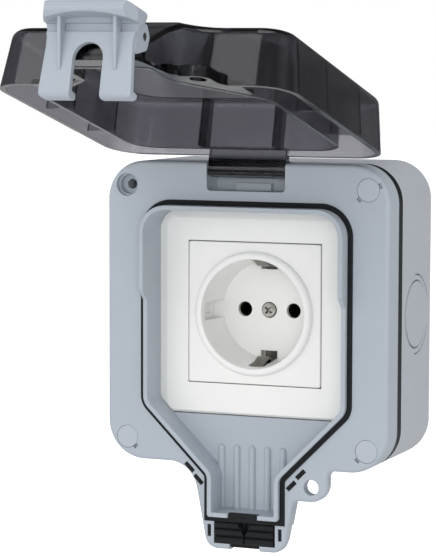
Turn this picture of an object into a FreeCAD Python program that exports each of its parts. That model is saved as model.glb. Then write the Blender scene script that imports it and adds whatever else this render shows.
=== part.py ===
import FreeCAD, Part
import Sketcher
import math
import os

# Outdoor weatherproof socket. X runs to the right of someone facing it, Z up, and Y into the wall.
# The origin is on the wall plane, behind the centre of the socket, so the front faces -Y.
# A level is a distance off the wall, along -Y.

Vector = FreeCAD.Vector
doc = FreeCAD.newDocument("weatherproof_socket")
sheet = doc.addObject("Spreadsheet::Sheet", "sizes")

# Driving sizes, in millimetres and degrees
driving_sizes = {
    # plug recess and the ring round its mouth
    "recess_radius": 19.85,
    "recess_depth": 17.5,
    "recess_taper": 6.0,
    "recess_floor": 2.0,
    "cup_wall": 1.6,
    "ring_width": 2.75,
    "ring_height": 2.1,
    "ring_outer_round": 1.7,
    "ring_inner_round": 0.5,
    "pin_spacing": 19.0,
    "pin_hole_radius": 2.75,
    "keyway_width": 6.7,
    "keyway_depth": 2.0,
    "keyway_drop": 3.0,
    "keyway_wall": 1.35,
    "keyway_block_height": 10.0,
    "side_window_height": 3.0,
    "side_window_depth": 0.75,
    "earth_window_width": 6.4,
    "earth_window_inset": 4.85,
    "earth_window_drop": 3.9,
    "earth_strip_width": 4.4,
    "earth_strip_thickness": 0.8,
    "centre_screw_radius": 2.6,
    "centre_screw_gap": 0.35,
    # faceplate and frame, each a margin wider than what it holds
    "insert_side_margin": 2.9,
    "insert_end_margin": 3.1,
    "insert_gap": 0.3,
    "insert_below_face": 8.7,
    "insert_plate": 2.4,
    "insert_corner": 0.8,
    "insert_proud": 0.5,
    "strap_screw_gap": 6.8,
    "strap_screw_radius": 1.6,
    "strap_screw_length": 14.0,
    "strap_margin": 5.5,
    "strap_thickness": 1.2,
    "frame_screw_margin": 9.2,
    "frame_top_rise": 1.0,
    "frame_bottom_cut": 1.9,
    "frame_border": 2.0,
    "frame_bevel": 3.0,
    "frame_foot_roll": 0.7,
    "frame_drop": 0.8,
    "frame_side_gap": 0.2,
    "frame_corner": 3.0,
    "frame_wall": 1.6,
    "frame_plate": 2.0,
    "frame_skirt": 4.8,
    # plug chamber, its rim and the rim gasket
    "rim_wall": 1.6,
    "rim_top_rise": 0.4,
    "rim_shoulder_cut": 5.95,
    "rim_neck_half_width": 13.7,
    "rim_end_margin": 12.0,
    "rim_corner": 10.0,
    "rim_low_height": 2.25,
    "rim_high_height": 6.2,
    "rim_step_z": 8.5,
    "rim_gasket_width": 1.85,
    "rim_gasket_groove": 1.5,
    "rim_gasket_proud": 0.5,
    "chamber_depth": 9.5,
    "chamber_gap": 0.3,
    "rib_pitch": 5.95,
    "rib_radius": 1.25,
    "rib_shift": -0.7,
    "rib_drop": 10.6,
    # cover screws on a square round the rim
    "screw_rim_gap": 7.3,
    "screw_bore_radius": 4.15,
    "screw_bore_depth": 4.6,
    "screw_step_radius": 3.5,
    "screw_step_depth": 2.0,
    "screw_boss_radius": 4.9,
    "screw_shank_radius": 1.75,
    "screw_head_radius": 3.2,
    "screw_head_height": 2.2,
    "screw_length": 32.0,
    "cap_clearance": 0.05,
    # back box
    "box_side_margin": 7.7,
    "box_top_margin": 8.7,
    "box_bottom_margin": 8.0,
    "box_corner": 14.0,
    "box_depth": 36.0,
    "box_wall": 2.6,
    "box_floor": 2.6,
    "box_back_round": 4.0,
    "box_front_round": 0.4,
    "strap_post_radius": 4.0,
    "knockout_radius": 12.5,
    "knockout_groove": 1.1,
    "knockout_depth": 0.9,
    "knockout_shift": 2.5,
    "knockout_arc_gap": 2.2,
    "wall_hole_spacing_x": 70.0,
    "wall_hole_spacing_z": 76.0,
    "wall_hole_radius": 2.5,
    # box gasket
    "gasket_height": 4.8,
    "gasket_width": 2.6,
    "gasket_inset": 0.15,
    # front cover
    "cover_skirt": 11.2,
    "cover_plate": 3.0,
    "cover_wall": 2.4,
    "cover_edge_round": 1.4,
    "neck_length": 31.0,
    "neck_tip_margin": 1.1,
    "neck_flare": 5.9,
    "neck_corner": 5.0,
    "neck_draft": 1.6,
    "neck_end_depth": 8.8,
    "neck_step_drop": 2.9,
    "neck_web_round": 11.0,
    "face_tab": 4.0,
    "ear_reach": 10.9,
    "ear_drop": 11.6,
    "ear_corner": 6.5,
    "padlock_hole_inset": 6.1,
    "padlock_hole_drop": 6.2,
    "padlock_hole_radius": 2.8,
    "anchor_length": 4.4,
    "anchor_width": 1.7,
    "anchor_depth": 2.0,
    "end_anchor_width": 1.4,
    "gland_side_margin": 1.9,
    "gland_end_margin": 2.1,
    "gland_depth": 7.2,
    "gland_ridge_radius": 1.3,
    "gland_valley_depth": 1.6,
    "cable_notch_width": 11.6,
    "cable_notch_depth": 4.0,
    # hinge
    "hinge_level_back": 3.5,
    "hinge_top_drop": 2.14,
    "hinge_pocket_width": 30.0,
    "hinge_pocket_reach": 8.06,
    "hinge_pocket_depth": 10.0,
    "hinge_pocket_wall": 2.0,
    "hinge_pin_radius": 1.5,
    "hinge_pin_length": 37.0,
    "knuckle_half": 3.1,
    "knuckle_side_gap": 0.35,
    "running_clearance": 0.06,
    "lid_open_angle": 104.6,
    # lid
    "lid_gap": 1.0,
    "lid_inset": 1.5,
    "lid_neck_inset": 0.8,
    "lid_neck_flare": 4.6,
    "lid_height": 21.0,
    "lid_draft": 2.6,
    "lid_wall": 2.0,
    "lid_top_round": 3.5,
    "lid_rib_wall": 1.6,
    "lid_rib_clear": 0.35,
    "lid_rib_gap": 0.3,
    "lid_ear_thickness": 3.6,
    "lid_flange": 1.2,
    # latch clip
    "latch_pivot_inset": 4.7,
    "latch_pivot_height": 9.2,
    "latch_pivot_radius": 3.0,
    "latch_pin_radius": 1.2,
    "clip_half_width": 15.2,
    "clip_inner_half": 13.4,
    "clip_side_gap": 0.35,
    "clip_plate": 1.9,
    "clip_neck_gap": 0.25,
    "clip_slot_width": 10.2,
    "clip_slot_top": 5.7,
    "clip_hook_height": 2.6,
    "clip_hook_reach": 3.0,
    "clip_hook_gap": 0.3,
    # terminal base and contacts
    "base_side_margin": 0.05,
    "base_end_margin": 0.55,
    "base_gap": 0.4,
    "base_stand_off": 5.4,
    "base_foot": 4.7,
    "contact_inner_radius": 2.35,
    "contact_wall": 0.8,
    "contact_bay_length": 15.2,
    "contact_bay_width": 7.4,
    "terminal_offset": 7.7,
    "terminal_hole_radius": 1.5,
    "earth_terminal_z": 10.5,
}


def fill_sheet():
    for row, (name, value) in enumerate(driving_sizes.items(), start=1):
        cell = "B%d" % row
        sheet.set("A%d" % row, name)
        sheet.set(cell, str(value))
        sheet.setAlias(cell, name)
    doc.recompute()


fill_sheet()

# Sizes that follow from the driving ones; {name} stands for one that is derived above it
derived_sizes = {}


def derive(name, expression):
    derived_sizes[name] = "(" + expression.format(**derived_sizes) + ")"


derive("face_level", "sizes.box_depth + sizes.gasket_height + sizes.cover_skirt")
derive("skirt_level", "sizes.box_depth + sizes.gasket_height")
derive("insert_level", "{face_level} - sizes.insert_below_face")
derive("ring_level", "{insert_level} + sizes.ring_height")
derive("recess_level", "{ring_level} - sizes.recess_depth")
derive("recess_back_level", "{recess_level} - sizes.recess_floor")
derive("base_top_level", "{recess_back_level} - sizes.earth_strip_thickness - sizes.base_gap")
derive("base_bottom_level", "sizes.box_floor + sizes.base_stand_off")
derive("contact_low_level", "{base_bottom_level} + sizes.base_foot")
derive("plateau_level", "{insert_level} - sizes.insert_proud")
derive("frame_border_level", "{plateau_level} - sizes.frame_drop")
derive("strap_top_level", "{frame_border_level} - sizes.frame_skirt")
derive("strap_level", "{strap_top_level} - sizes.strap_thickness")
derive("chamber_level", "{face_level} - sizes.chamber_depth")
derive("hinge_level", "{face_level} - sizes.hinge_level_back")
derive("lid_rim_level", "{face_level} + sizes.lid_gap")
derive("lid_top_level", "{face_level} + sizes.lid_height")
derive("latch_level", "{face_level} + sizes.latch_pivot_height")
derive("ring_radius", "sizes.recess_radius + sizes.ring_width")
derive("cup_radius", "sizes.recess_radius + sizes.cup_wall")
derive("insert_width", "2 * ({ring_radius} + sizes.insert_side_margin)")
derive("insert_height", "2 * ({ring_radius} + sizes.insert_end_margin)")
derive("keyway_reach", "sizes.recess_radius + sizes.keyway_depth")
derive("keyway_block_half", "{keyway_reach} + sizes.keyway_wall")
derive("base_width", "2 * ({cup_radius} + sizes.base_side_margin)")
derive("base_height", "2 * ({cup_radius} + sizes.base_end_margin)")
derive("terminal_x", "sizes.pin_spacing / 2 + sizes.terminal_offset")
derive("strap_screw_x", "{keyway_block_half} + sizes.strap_screw_gap")
derive("strap_width", "2 * ({strap_screw_x} + sizes.strap_margin)")
derive("frame_half", "{strap_screw_x} + sizes.frame_screw_margin")
derive("frame_top", "{frame_half} + sizes.frame_top_rise")
derive("frame_bottom", "{frame_half} - sizes.frame_bottom_cut")
derive("bevel_half", "{frame_half} - sizes.frame_border")
derive("rim_half", "{bevel_half} + sizes.rim_wall")
derive("rim_top", "{rim_half} + sizes.rim_top_rise")
derive("rim_shoulder", "{rim_half} - sizes.rim_shoulder_cut")
derive("rim_neck_top", "{rim_shoulder} + {rim_half} - sizes.rim_neck_half_width")
derive("screw_place", "{rim_half} + sizes.screw_rim_gap")
derive("box_half", "{screw_place} + sizes.box_side_margin")
derive("box_top", "{screw_place} + sizes.box_top_margin")
derive("box_bottom", "{screw_place} + sizes.box_bottom_margin")
derive("neck_end", "{box_bottom} + sizes.neck_length")
derive("neck_tip_half", "sizes.rim_neck_half_width + sizes.neck_tip_margin")
derive("neck_root_half", "{neck_tip_half} + sizes.neck_flare")
derive("rim_bottom", "{neck_end} - sizes.rim_end_margin")
derive("gasket_bottom", "{rim_bottom} + sizes.rim_gasket_width")
derive("gland_half", "sizes.rim_neck_half_width - sizes.gland_side_margin")
derive("gland_bottom", "{neck_end} - sizes.gland_end_margin")
derive("chamber_floor_top", "{frame_bottom} + sizes.chamber_gap")
derive("ear_right", "{neck_root_half} + sizes.ear_reach")
derive("ear_bottom", "{box_bottom} + sizes.ear_drop")
derive("padlock_hole_x", "{ear_right} - sizes.padlock_hole_inset")
derive("padlock_hole_z", "-{box_bottom} - sizes.padlock_hole_drop")
derive("hinge_z", "{box_top} - sizes.hinge_top_drop")
derive("hinge_pocket_bottom", "{hinge_z} - sizes.hinge_pocket_reach")
derive("latch_pivot_z", "-({neck_end} - sizes.latch_pivot_inset)")
derive("knockout_level", "sizes.box_depth / 2 + sizes.knockout_shift")


def bound(name):
    return derived_sizes.get(name, "sizes." + name)


def size(name):
    return float(sheet.evalExpression(bound(name)))


# Levels and places that several pieces share
face_level = size("face_level")
skirt_level = size("skirt_level")
hinge_level = size("hinge_level")
lid_rim_level = size("lid_rim_level")
lid_top_level = size("lid_top_level")
insert_level = size("insert_level")
frame_border_level = size("frame_border_level")
chamber_level = size("chamber_level")
latch_level = size("latch_level")
base_top_level = size("base_top_level")
box_half = size("box_half")
box_top = size("box_top")
box_bottom = size("box_bottom")
neck_end = size("neck_end")
screw_place = size("screw_place")
rim_half = size("rim_half")
rim_neck = size("rim_neck_half_width")
rim_bottom = size("rim_bottom")
rim_neck_top = size("rim_neck_top")
hinge_z = size("hinge_z")
hinge_pocket_half = size("hinge_pocket_width") / 2
padlock_hole = (size("padlock_hole_x"), size("padlock_hole_z"))
past = 1.0


# Sketch and body helpers
def new_body(label):
    body = doc.addObject("PartDesign::Body", label)
    body.Label = label
    return body


def origin_plane(body, role):
    return [plane for plane in body.Origin.OriginFeatures if plane.Role == role][0]


def level_sketch(body, name, level, role="XZ_Plane"):
    sketch = body.newObject("Sketcher::SketchObject", name)
    sketch.AttachmentSupport = [(origin_plane(body, role), "")]
    sketch.MapMode = "FlatFace"
    sketch.setExpression("AttachmentOffset.Base.z", level)
    return sketch


def bind(sketch, constraint, expression):
    index = sketch.addConstraint(constraint)
    sketch.setExpression("Constraints[%d]" % index, expression)


def add_rectangle(sketch, width, height, x="0", z="0"):
    first = sketch.GeometryCount
    corners = [Vector(-1, -1, 0), Vector(1, -1, 0), Vector(1, 1, 0), Vector(-1, 1, 0)]
    for i in range(4):
        sketch.addGeometry(Part.LineSegment(corners[i], corners[(i + 1) % 4]), False)
    for i in range(4):
        sketch.addConstraint(Sketcher.Constraint("Coincident", first + i, 2, first + (i + 1) % 4, 1))
    for i in (0, 2):
        sketch.addConstraint(Sketcher.Constraint("Horizontal", first + i))
        sketch.addConstraint(Sketcher.Constraint("Vertical", first + i + 1))
    bind(sketch, Sketcher.Constraint("DistanceX", first, 1, first, 2, 2.0), width)
    bind(sketch, Sketcher.Constraint("DistanceY", first + 1, 1, first + 1, 2, 2.0), height)
    bind(sketch, Sketcher.Constraint("DistanceX", -1, 1, first, 1, -1.0), "(%s) - (%s) / 2" % (x, width))
    bind(sketch, Sketcher.Constraint("DistanceY", -1, 1, first, 1, -1.0), "(%s) - (%s) / 2" % (z, height))


def add_rounded_rectangle(sketch, width, height, radius, x="0", z="0"):
    first = sketch.GeometryCount
    half_width = float(sketch.evalExpression(width)) / 2
    half_height = float(sketch.evalExpression(height)) / 2
    corner = float(sketch.evalExpression(radius))
    centres = [(half_width - corner, corner - half_height), (half_width - corner, half_height - corner),
               (corner - half_width, half_height - corner), (corner - half_width, corner - half_height)]
    arcs = []
    for i, (cx, cz) in enumerate(centres):
        circle = Part.Circle(Vector(cx, cz, 0), Vector(0, 0, 1), corner)
        arcs.append(Part.ArcOfCircle(circle, math.radians(90 * i - 90), math.radians(90 * i)))
    for i in range(4):
        sketch.addGeometry(Part.LineSegment(arcs[i - 1].EndPoint, arcs[i].StartPoint), False)
    for arc in arcs:
        sketch.addGeometry(arc, False)
    for i in range(4):
        sketch.addConstraint(Sketcher.Constraint("Tangent", first + i, 2, first + 4 + i, 1))
        sketch.addConstraint(Sketcher.Constraint("Tangent", first + 4 + i, 2, first + (i + 1) % 4, 1))
    for i in (0, 2):
        sketch.addConstraint(Sketcher.Constraint("Horizontal", first + i))
        sketch.addConstraint(Sketcher.Constraint("Vertical", first + i + 1))
    for i in range(3):
        sketch.addConstraint(Sketcher.Constraint("Equal", first + 4 + i, first + 5 + i))
    bind(sketch, Sketcher.Constraint("Radius", first + 4, corner), radius)
    bind(sketch, Sketcher.Constraint("DistanceX", first + 3, 1, first + 1, 1, 2 * half_width), width)
    bind(sketch, Sketcher.Constraint("DistanceY", first, 1, first + 2, 1, 2 * half_height), height)
    bind(sketch, Sketcher.Constraint("DistanceX", -1, 1, first + 3, 1, -half_width), "(%s) - (%s) / 2" % (x, width))
    bind(sketch, Sketcher.Constraint("DistanceY", -1, 1, first, 1, -half_height), "(%s) - (%s) / 2" % (z, height))


def add_circle(sketch, radius, x="0", z="0"):
    index = sketch.GeometryCount
    sketch.addGeometry(Part.Circle(Vector(0, 0, 0), Vector(0, 0, 1), 1.0), False)
    bind(sketch, Sketcher.Constraint("Radius", index, 1.0), radius)
    bind(sketch, Sketcher.Constraint("DistanceX", -1, 1, index, 3, 0.5), x)
    bind(sketch, Sketcher.Constraint("DistanceY", -1, 1, index, 3, 0.5), z)


def extrude_sketch(body, kind, name, sketch, length, reverse=False):
    feature = body.newObject("PartDesign::" + kind, name)
    feature.Profile = sketch
    feature.setExpression("Length", length)
    feature.Reversed = reverse
    doc.recompute()
    return feature


def round_edges(body, name, feature, wanted, radius):
    edges = ["Edge%d" % (i + 1) for i, edge in enumerate(feature.Shape.Edges) if wanted(edge)]
    fillet = body.newObject("PartDesign::Fillet", name)
    fillet.Base = (feature, edges)
    fillet.setExpression("Radius", radius)
    doc.recompute()
    return fillet


def runs_in_depth(edge):
    if len(edge.Vertexes) != 2:
        return False
    start, end = edge.Vertexes[0].Point, edge.Vertexes[1].Point
    return abs(start.y - end.y) > 0.1 and abs(start.x - end.x) < 0.001 and abs(start.z - end.z) < 0.001


def lies_at_level(edge, level):
    return all(abs(vertex.Point.y + level) < 0.001 for vertex in edge.Vertexes)


# Shape helpers for the moulded pieces
def outline_wire(corners, level, inset=0.0):
    """Closed wire in the plane of a level, from (x, z, radius) corners taken anticlockwise."""
    count = len(corners)
    sides = []
    for i in range(count):
        a = Vector(corners[i][0], 0, corners[i][1])
        b = Vector(corners[(i + 1) % count][0], 0, corners[(i + 1) % count][1])
        along = (b - a).normalize()
        inward = Vector(-along.z, 0, along.x)
        sides.append((a + inward * inset, along))
    points = []
    for i in range(count):
        before, after = sides[i - 1], sides[i]
        cross = before[1].x * after[1].z - before[1].z * after[1].x
        offset = after[0] - before[0]
        reach = (offset.x * after[1].z - offset.z * after[1].x) / cross
        points.append((before[0] + before[1] * reach, cross))
    edges = []
    tangents = []
    for i in range(count):
        vertex, cross = points[i]
        radius = corners[i][2]
        radius = max(radius - inset, 0.3) if cross > 0 else max(radius + inset, 0.3)
        before, after = sides[i - 1][1], sides[i][1]
        turn = before.getAngle(after)
        reach = radius * math.tan(turn / 2)
        start = vertex - before * reach
        end = vertex + after * reach
        middle_way = (after - before).normalize()
        middle = vertex + middle_way * (radius / math.cos(turn / 2) - radius)
        tangents.append((start, middle, end))
    lift = Vector(0, -level, 0)
    for i in range(count):
        start, middle, end = [point + lift for point in tangents[i]]
        edges.append(Part.Arc(start, middle, end).toShape())
        edges.append(Part.LineSegment(end, tangents[(i + 1) % count][0] + lift).toShape())
    return Part.Wire(edges)


def loft_between(low_corners, high_corners, low, high):
    return Part.makeLoft([outline_wire(low_corners, low), outline_wire(high_corners, high)], True, True)


def slab(corners, low, high, inset=0.0):
    face = Part.Face(outline_wire(corners, low, inset))
    return face.extrude(Vector(0, low - high, 0))


def tapered_slab(corners, low, high, low_inset, high_inset):
    wires = [outline_wire(corners, low, low_inset), outline_wire(corners, high, high_inset)]
    return Part.makeLoft(wires, True, True)


def block(x_low, x_high, z_low, z_high, low, high):
    return Part.makeBox(x_high - x_low, high - low, z_high - z_low, Vector(x_low, -high, z_low))


def post(x, z, low, high, radius):
    return Part.makeCylinder(radius, high - low, Vector(x, -low, z), Vector(0, -1, 0))


def cross_rod(x_low, x_high, level, z, radius):
    return Part.makeCylinder(radius, x_high - x_low, Vector(x_low, -level, z), Vector(1, 0, 0))


def side_profile(points, x_low, x_high):
    """Solid across X from (z, level) points."""
    wire = Part.makePolygon([Vector(x_low, -level, z) for z, level in points + points[:1]])
    return Part.Face(wire).extrude(Vector(x_high - x_low, 0, 0))


def box_corners(half, top, bottom, radius):
    return [(half, top, radius), (-half, top, radius), (-half, -bottom, radius), (half, -bottom, radius)]


def fillet_at_level(shape, level, radius, wanted=lambda edge: True):
    edges = [edge for edge in shape.Edges if lies_at_level(edge, level) and wanted(edge)]
    return shape.makeFillet(radius, edges)


def add_shape(label, shape, placement=None):
    feature = doc.addObject("Part::Feature", label)
    feature.Label = label
    feature.Shape = shape
    if placement is not None:
        feature.Placement = placement
    return feature


def only_solid(shape):
    return shape.Solids[0] if len(shape.Solids) == 1 else shape


# Outlines seen from the front
def neck_half_width(depth_down, root, tip):
    share = (depth_down - box_bottom) / (neck_end - box_bottom)
    return root + share * (tip - root)


def outline_with_neck(root, tip, right_side):
    """Box outline with the neck that hangs from its lower edge."""
    corner = size("box_corner")
    web, end = size("neck_web_round"), size("neck_corner")
    left_side = [(-box_half, -box_bottom, corner), (-root, -box_bottom, web)]
    neck = [(-tip, -neck_end, end), (tip, -neck_end, end)]
    return body_outline[:2] + left_side + neck + right_side + body_outline[3:]


neck_root = size("neck_root_half")
neck_tip = size("neck_tip_half")
ear_right, ear_bottom, ear_root_round = size("ear_right"), size("ear_bottom"), 2.5
body_outline = box_corners(box_half, box_top, box_bottom, size("box_corner"))
cover_outline = outline_with_neck(neck_root, neck_tip, [
    (neck_half_width(ear_bottom, neck_root, neck_tip), -ear_bottom, ear_root_round),
    (ear_right, -ear_bottom, size("ear_corner")),
    (ear_right, -box_bottom, ear_root_round),
])
lid_neck_tip = neck_tip - size("lid_neck_inset")
lid_neck_root = lid_neck_tip + size("lid_neck_flare")
lid_outline = outline_with_neck(lid_neck_root, lid_neck_tip, [(lid_neck_root, -box_bottom, size("neck_web_round"))])
neck_overlap = 9.0
neck_outline = [
    (neck_half_width(box_bottom - neck_overlap, neck_root, neck_tip), neck_overlap - box_bottom, 1.0),
    (-neck_half_width(box_bottom - neck_overlap, neck_root, neck_tip), neck_overlap - box_bottom, 1.0),
    (-neck_tip, -neck_end, size("neck_corner")),
    (neck_tip, -neck_end, size("neck_corner")),
]
rim_shoulder_round, rim_neck_round, rim_end_round = 6.0, 4.0, 1.0
rim_outline = [
    (rim_half, size("rim_top"), size("rim_corner")),
    (-rim_half, size("rim_top"), size("rim_corner")),
    (-rim_half, -size("rim_shoulder"), rim_shoulder_round),
    (-rim_neck, -rim_neck_top, rim_neck_round),
    (-rim_neck, -rim_bottom, rim_end_round),
    (rim_neck, -rim_bottom, rim_end_round),
    (rim_neck, -rim_neck_top, rim_neck_round),
    (rim_half, -size("rim_shoulder"), rim_shoulder_round),
]
gasket_out = -size("rim_gasket_width")
gasket_bottom = -size("gasket_bottom")
screw_points = [(x, z) for x in (-screw_place, screw_place) for z in (-screw_place, screw_place)]
open_screw_point = (-screw_place, screw_place)
closed_screw_points = [point for point in screw_points if point != open_screw_point]
anchor_slots = [(rim_neck + 7.75, 2.1 - rim_neck_top), (rim_neck + 4.25, -2.2 - rim_neck_top)]
gland_half = size("gland_half")
gland_bottom = -size("gland_bottom")
gland_low_level = face_level - size("gland_depth")
notch_half = size("cable_notch_width") / 2
bar_height = 2.5


def slot_cutters(low, high, clearance=0.0):
    """Six small slots beside the rim gasket: two along each diagonal, one beside each end of the gland."""
    half_length = size("anchor_length") / 2 - clearance
    half_width = size("anchor_width") / 2 - clearance
    end_half = size("end_anchor_width") / 2 - clearance
    cutters = []
    for side in (-1, 1):
        for x, z in anchor_slots:
            cutter = block(-half_length, half_length, -half_width, half_width, low, high)
            cutter.rotate(Vector(0, 0, 0), Vector(0, 1, 0), -45 * side)
            cutter.translate(Vector(side * x, 0, z))
            cutters.append(cutter)
        x = side * (gland_half + 1.85)
        z_low = gland_bottom + 2.4
        cutters.append(block(x - end_half, x + end_half, z_low + clearance, z_low + size("anchor_length") - clearance,
                             low, high))
    return cutters


# Back box
def sign_of(value):
    return "-" if value < 0 else ""


def make_back_box():
    body = new_body("box_body")
    width = "2 * " + bound("box_half")
    height = "({0} + {1})".format(bound("box_top"), bound("box_bottom"))
    middle = "({0} - {1}) / 2".format(bound("box_top"), bound("box_bottom"))
    outline = level_sketch(body, "box_outline", "0")
    add_rounded_rectangle(outline, width, height, "sizes.box_corner", "0", middle)
    shell = extrude_sketch(body, "Pad", "box_block", outline, "sizes.box_depth")
    shell = round_edges(body, "box_back_edge", shell, lambda edge: lies_at_level(edge, 0), "sizes.box_back_round")
    round_edges(body, "box_front_edge", shell, lambda edge: lies_at_level(edge, size("box_depth")),
                "sizes.box_front_round")
    hollow = level_sketch(body, "box_hollow_outline", "sizes.box_depth")
    add_rounded_rectangle(hollow, width + " - 2 * sizes.box_wall", height + " - 2 * sizes.box_wall",
                          "sizes.box_corner - sizes.box_wall", "0", middle)
    extrude_sketch(body, "Pocket", "box_hollow", hollow, "sizes.box_depth - sizes.box_floor")
    bosses = level_sketch(body, "screw_post_outline", "sizes.box_floor - 0.5")
    pilots = level_sketch(body, "pilot_outline", "sizes.box_depth")
    for x, z in screw_points:
        place = (sign_of(x) + bound("screw_place"), sign_of(z) + bound("screw_place"))
        add_circle(bosses, "sizes.screw_boss_radius", *place)
        add_circle(pilots, "sizes.screw_shank_radius + sizes.running_clearance", *place)
    extrude_sketch(body, "Pad", "screw_posts", bosses, "sizes.box_depth - sizes.box_floor + 0.5")
    depth = "sizes.screw_length + sizes.screw_bore_depth - sizes.cover_skirt - sizes.gasket_height + 1"
    extrude_sketch(body, "Pocket", "pilot_holes", pilots, depth)
    bosses = level_sketch(body, "strap_post_outline", "sizes.box_floor - 0.5")
    pilots = level_sketch(body, "strap_pilot_outline", bound("strap_level"))
    for side in ("-", ""):
        add_circle(bosses, "sizes.strap_post_radius", side + bound("strap_screw_x"), "0")
        add_circle(pilots, "sizes.strap_screw_radius + sizes.running_clearance", side + bound("strap_screw_x"), "0")
    extrude_sketch(body, "Pad", "strap_posts", bosses, bound("strap_level") + " - sizes.box_floor + 0.5")
    extrude_sketch(body, "Pocket", "strap_pilot_holes", pilots, "sizes.strap_screw_length")
    holes = level_sketch(body, "wall_hole_outline", "sizes.box_floor")
    for x in ("-", ""):
        for z in ("-", ""):
            add_circle(holes, "sizes.wall_hole_radius", x + "sizes.wall_hole_spacing_x / 2",
                       z + "sizes.wall_hole_spacing_z / 2")
    extrude_sketch(body, "Pocket", "wall_holes", holes, "sizes.box_floor + 1")
    doc.recompute()
    shape = body.Shape.copy()
    for groove in knockout_grooves():
        shape = shape.cut(groove)
    return add_shape("back_box", only_solid(shape))


def knockout_grooves():
    """Crescents that mark the cable knockouts on the two sides and the bottom of the box, with two arcs each."""
    radius = size("knockout_radius")
    width = size("knockout_groove")
    depth = size("knockout_depth")
    arc_radius = radius + size("knockout_arc_gap")
    arc_span = arc_radius + past
    level = Vector(0, -size("knockout_level"), 0)
    disc = Part.makeCylinder(radius - width / 2, depth, Vector(width / 2 + 0.05, 0, 0))
    crescent = Part.makeCylinder(radius, depth).cut(disc)
    arc = Part.makeCylinder(arc_radius, depth).cut(Part.makeCylinder(arc_radius - width / 2, depth))
    keep = Part.makeBox(arc_span, arc_span, depth, Vector(-1.0, radius * 0.45, 0))
    keep = keep.fuse(Part.makeBox(arc_span, arc_span, depth, Vector(-1.0, -radius * 0.45 - arc_span, 0)))
    groove = crescent.fuse(arc.common(keep))
    grooves = []
    for turn, place in ((90, Vector(box_half - depth, 0, 0)), (-90, Vector(depth - box_half, 0, 0)),
                        (0, Vector(0, 0, -box_bottom))):
        piece = groove.copy()
        piece.rotate(Vector(0, 0, 0), Vector(0, 0, 1), 90)
        piece.rotate(Vector(0, 0, 0), Vector(0, 1, 0), turn)
        piece.translate(place + level)
        grooves.append(piece)
    return grooves


def ring_between(corners, low, high, outer_inset, inner_inset):
    outer = slab(corners, low, high, outer_inset)
    return outer.cut(slab(corners, low - past, high + past, inner_inset))


def between_heights(shape, z_low, z_high, x_half=2 * box_half):
    """The part of a shape between two heights and within a half width."""
    return shape.common(block(-x_half, x_half, z_low, z_high, -face_level, 2 * face_level))


def make_box_gasket():
    inset = size("gasket_inset")
    ring = ring_between(body_outline, size("box_depth"), skirt_level, inset, inset + size("gasket_width"))
    return add_shape("box_gasket", ring)


# Front cover
def rim_step_cutter():
    """Space above the low lower half of the rim, up to the slanted step in its side walls."""
    low = face_level + size("rim_low_height")
    high = face_level + size("rim_high_height")
    step = size("rim_step_z")
    end = -2 * neck_end
    points = [(end, low), (step - (high - low), low), (step, high), (step, high + past), (end, high + past)]
    return side_profile(points, -2 * box_half, 2 * box_half)


def chamber_ribs():
    """Rounded ribs on the floor below the socket, down to the end wall of the chamber."""
    radius = size("rib_radius")
    high = -size("chamber_floor_top") - size("rib_drop")
    low = size("rim_wall") / 2 - rim_bottom
    ribs = []
    for i in range(-2, 3):
        x = size("rib_shift") + i * size("rib_pitch")
        rib = Part.makeCylinder(radius, high - radius - low, Vector(x, -chamber_level, low), Vector(0, 0, 1))
        rib = rib.fuse(Part.makeSphere(radius, Vector(x, -chamber_level, high - radius)))
        ribs.append(rib.common(block(x - 2 * radius, x + 2 * radius, low, high + past,
                                     chamber_level - radius / 2, chamber_level + 2 * radius)))
    return ribs


def pry_notch(x, z, angle):
    """Small slot beside a cap, where it can be lifted out."""
    bore = size("screw_bore_radius")
    notch = block(bore - 0.6, bore + 1.1, -0.9, 0.9, face_level - 1.2, face_level + past)
    notch.rotate(Vector(0, 0, 0), Vector(0, 1, 0), -angle)
    notch.translate(Vector(x, 0, z))
    return notch


def gasket_block(low, high):
    """Everything inside the outer edge of the rim gasket; its two lower corners are square."""
    foot_half = rim_neck - gasket_out
    foot = block(-foot_half, foot_half, gasket_bottom, gasket_bottom + 2 * size("rim_gasket_width"), low, high)
    return slab(rim_outline, low, high, gasket_out).fuse(foot).removeSplitter()


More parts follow.
